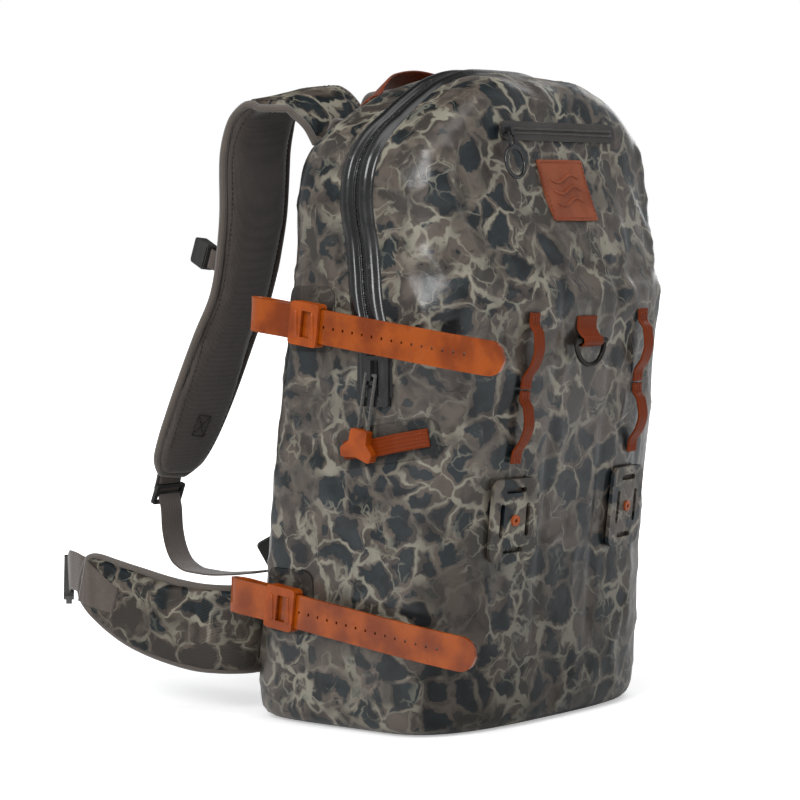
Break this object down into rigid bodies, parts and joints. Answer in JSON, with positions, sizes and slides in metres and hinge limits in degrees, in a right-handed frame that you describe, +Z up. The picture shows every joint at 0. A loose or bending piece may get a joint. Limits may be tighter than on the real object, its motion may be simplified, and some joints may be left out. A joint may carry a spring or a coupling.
{
  "type": "fishing tackle backpack",
  "caption": "Rounded waterproof fishing backpack with an arched main zip, a fold-down front flap, padded harness, hip belt and moulded lash straps.",
  "frame": {"origin": "on the base, under the plane of the main zip", "axes": "+Z up, -Y is the front face, +Y is the wearer side with the harness"},
  "size_m": [0.3428, 0.4873, 0.5098],
  "materials": {
    "shell_fabric": "semi-gloss coated",
    "zip_tape": "gloss",
    "zip_moulded": "gloss",
    "cord": "braided",
    "orange_moulded": "satin",
    "badge": "satin",
    "liner": "matte",
    "stiffener": "matte",
    "orange_webbing": "woven",
    "metal": "brushed",
    "rivet": "satin",
    "pad_fabric": "matte knit",
    "webbing": "woven",
    "buckle_plastic": "satin",
    "lash_tpu": "translucent gloss"
  },
  "bodies": {
    "pack": {"bottom_panel": "shell_fabric", "front_lower_panel": "shell_fabric", "back_panel": "shell_fabric", "top_gusset": "shell_fabric", "gusset_left": "shell_fabric", "gusset_right": "shell_fabric", "zip_tape_rear": "zip_tape", "zip_chain_rear": "zip_moulded", "zip_garages": "zip_moulded", "lash_ladders_lower": "orange_webbing", "accessory_plates": "shell_fabric", "plate_rivets": "rivet", "grab_tabs": "orange_webbing", "frame_sheet": "stiffener", "inner_pocket": "liner", "back_pads": "pad_fabric", "lumbar_pad": "pad_fabric", "harness_yoke": "pad_fabric", "lash_anchors": "lash_tpu"},
    "front_flap": {"flap_front_panel": "shell_fabric", "flap_gusset_left": "shell_fabric", "flap_gusset_right": "shell_fabric", "zip_tape_front": "zip_tape", "zip_chain_front": "zip_moulded", "pocket_zip_tape": "zip_tape", "front_badge": "badge", "pocket_liner": "liner", "lash_ladders_upper": "orange_webbing", "d_ring_tab": "orange_webbing"},
    "main_zip_slider": {"zip_slider": "zip_moulded"},
    "main_zip_pull": {"zip_pull_cord": "cord", "zip_pull_handle": "orange_moulded"},
    "pocket_slider": {"pocket_zip_slider": "zip_moulded"},
    "pocket_pull": {"pocket_pull_ring": "zip_moulded"},
    "d_ring": {"front_d_ring": "metal"},
    "haul_handle": {"haul_handle": "orange_webbing"},
    "lash_upper_left": {"lash_strap_upper_left": "lash_tpu"},
    "lash_upper_left_buckle": {"lash_buckle_upper_left": "buckle_plastic"},
    "lash_upper_right": {"lash_strap_upper_right": "lash_tpu"},
    "lash_upper_right_buckle": {"lash_buckle_upper_right": "buckle_plastic"},
    "lash_lower_left": {"lash_strap_lower_left": "lash_tpu"},
    "lash_lower_left_buckle": {"lash_buckle_lower_left": "buckle_plastic"},
    "lash_lower_right": {"lash_strap_lower_right": "lash_tpu"},
    "lash_lower_right_buckle": {"lash_buckle_lower_right": "buckle_plastic"},
    "shoulder_left": {"shoulder_strap_left": "pad_fabric"},
    "ladder_lock_left": {"ladder_lock_left": "buckle_plastic"},
    "lower_webbing_left": {"lower_webbing_left": "webbing"},
    "sternum_left": {"sternum_strap_left": "webbing"},
    "sternum_female": {"sternum_buckle_female": "buckle_plastic"},
    "hip_left": {"hip_wing_left": "pad_fabric", "hip_webbing_left": "webbing"},
    "hip_male": {"hip_buckle_male": "buckle_plastic"},
    "shoulder_right": {"shoulder_strap_right": "pad_fabric"},
    "ladder_lock_right": {"ladder_lock_right": "buckle_plastic"},
    "lower_webbing_right": {"lower_webbing_right": "webbing"},
    "sternum_right": {"sternum_strap_right": "webbing"},
    "sternum_male": {"sternum_buckle_male": "buckle_plastic"},
    "hip_right": {"hip_wing_right": "pad_fabric", "hip_webbing_right": "webbing"},
    "hip_female": {"hip_buckle_female": "buckle_plastic"}
  },
  "joints": [
    {"name": "front_flap_hinge", "type": "hinge", "parent": "pack", "child": "front_flap", "pos_m": [0, -0.0955, 0.2615], "axis": [1, 0, 0], "range_deg": [0, 55]},
    {"name": "main_zip_slide", "type": "slide", "parent": "pack", "child": "main_zip_slider", "axis": [0, 0.1386, 0.9903], "range_m": [0, 0.15]},
    {"name": "main_zip_pull_swing", "type": "hinge", "parent": "main_zip_slider", "child": "main_zip_pull", "pos_m": [-0.1578, -0.012, 0.274], "axis": [0, 0.9848, 0.1736], "range_deg": [0, 75]},
    {"name": "pocket_zip_slide", "type": "slide", "parent": "front_flap", "child": "pocket_slider", "axis": [1, 0, 0], "range_m": [0, 0.11]},
    {"name": "pocket_pull_swing", "type": "hinge", "parent": "pocket_slider", "child": "pocket_pull", "pos_m": [-0.072, -0.07845, 0.45497], "axis": [1, 0, 0], "range_deg": [-90, 0]},
    {"name": "d_ring_swing", "type": "hinge", "parent": "front_flap", "child": "d_ring", "pos_m": [-0.006, -0.1059, 0.297], "axis": [1, 0, 0], "range_deg": [-100, 0]},
    {"name": "haul_handle_flip", "type": "hinge", "parent": "pack", "child": "haul_handle", "pos_m": [0, 0.0609, 0.4812], "axis": [1, 0, 0], "range_deg": [-25, 25]},
    {"name": "lash_upper_left_swing", "type": "hinge", "parent": "pack", "child": "lash_upper_left", "pos_m": [-0.1623, 0.1001, 0.31818], "axis": [0, 0, 1], "range_deg": [-70, 0]},
    {"name": "lash_upper_left_buckle_slide", "type": "slide", "parent": "lash_upper_left", "child": "lash_upper_left_buckle", "axis": [0, -0.9922, -0.125], "range_m": [-0.007, 0.007]},
    {"name": "lash_upper_right_swing", "type": "hinge", "parent": "pack", "child": "lash_upper_right", "pos_m": [0.1623, 0.1001, 0.31818], "axis": [0, 0, 1], "range_deg": [0, 70]},
    {"name": "lash_upper_right_buckle_slide", "type": "slide", "parent": "lash_upper_right", "child": "lash_upper_right_buckle", "axis": [0, -0.9922, -0.125], "range_m": [-0.007, 0.007]},
    {"name": "lash_lower_left_swing", "type": "hinge", "parent": "pack", "child": "lash_lower_left", "pos_m": [-0.1623, 0.1221, 0.0998], "axis": [0, 0, 1], "range_deg": [-70, 0]},
    {"name": "lash_lower_left_buckle_slide", "type": "slide", "parent": "lash_lower_left", "child": "lash_lower_left_buckle", "axis": [0, -0.9922, -0.125], "range_m": [-0.007, 0.007]},
    {"name": "lash_lower_right_swing", "type": "hinge", "parent": "pack", "child": "lash_lower_right", "pos_m": [0.1623, 0.1221, 0.0998], "axis": [0, 0, 1], "range_deg": [0, 70]},
    {"name": "lash_lower_right_buckle_slide", "type": "slide", "parent": "lash_lower_right", "child": "lash_lower_right_buckle", "axis": [0, -0.9922, -0.125], "range_m": [-0.007, 0.007]},
    {"name": "shoulder_left_swing", "type": "hinge", "parent": "pack", "child": "shoulder_left", "pos_m": [-0.064, 0.09, 0.449], "axis": [1, 0, 0], "range_deg": [0, 28]},
    {"name": "ladder_lock_left_swing", "type": "hinge", "parent": "shoulder_left", "child": "ladder_lock_left", "pos_m": [-0.1053, 0.2413, 0.176], "axis": [1, 0, 0], "range_deg": [0, 30]},
    {"name": "lower_webbing_left_swing", "type": "hinge", "parent": "pack", "child": "lower_webbing_left", "pos_m": [-0.117, 0.134, 0.111], "axis": [1, 0, 0], "range_deg": [-5, 0]},
    {"name": "sternum_left_slide", "type": "slide", "parent": "shoulder_left", "child": "sternum_left", "axis": [0, -0.327, 0.945], "range_m": [-0.006, 0.006]},
    {"name": "sternum_female_fold", "type": "hinge", "parent": "sternum_left", "child": "sternum_female", "pos_m": [-0.1045, 0.19664, 0.35787], "axis": [0, -0.327, 0.945], "range_deg": [-25, 25]},
    {"name": "hip_left_swing", "type": "hinge", "parent": "pack", "child": "hip_left", "pos_m": [-0.107, 0.135, 0.066], "axis": [0, 0, 1], "range_deg": [-14, 4]},
    {"name": "hip_male_fold", "type": "hinge", "parent": "hip_left", "child": "hip_male", "pos_m": [-0.15, 0.314, 0.102], "axis": [0, 0, 1], "range_deg": [-20, 20]},
    {"name": "shoulder_right_swing", "type": "hinge", "parent": "pack", "child": "shoulder_right", "pos_m": [0.064, 0.09, 0.449], "axis": [1, 0, 0], "range_deg": [0, 28]},
    {"name": "ladder_lock_right_swing", "type": "hinge", "parent": "shoulder_right", "child": "ladder_lock_right", "pos_m": [0.1053, 0.2413, 0.176], "axis": [1, 0, 0], "range_deg": [0, 30]},
    {"name": "lower_webbing_right_swing", "type": "hinge", "parent": "pack", "child": "lower_webbing_right", "pos_m": [0.117, 0.134, 0.111], "axis": [1, 0, 0], "range_deg": [-5, 0]},
    {"name": "sternum_right_slide", "type": "slide", "parent": "shoulder_right", "child": "sternum_right", "axis": [0, -0.327, 0.945], "range_m": [-0.006, 0.006]},
    {"name": "sternum_male_fold", "type": "hinge", "parent": "sternum_right", "child": "sternum_male", "pos_m": [0.1045, 0.19664, 0.35787], "axis": [0, -0.327, 0.945], "range_deg": [-25, 25]},
    {"name": "hip_right_swing", "type": "hinge", "parent": "pack", "child": "hip_right", "pos_m": [0.107, 0.135, 0.066], "axis": [0, 0, 1], "range_deg": [-4, 14]},
    {"name": "hip_female_fold", "type": "hinge", "parent": "hip_right", "child": "hip_female", "pos_m": [0.15, 0.314, 0.102], "axis": [0, 0, 1], "range_deg": [-20, 20]}
  ]
}
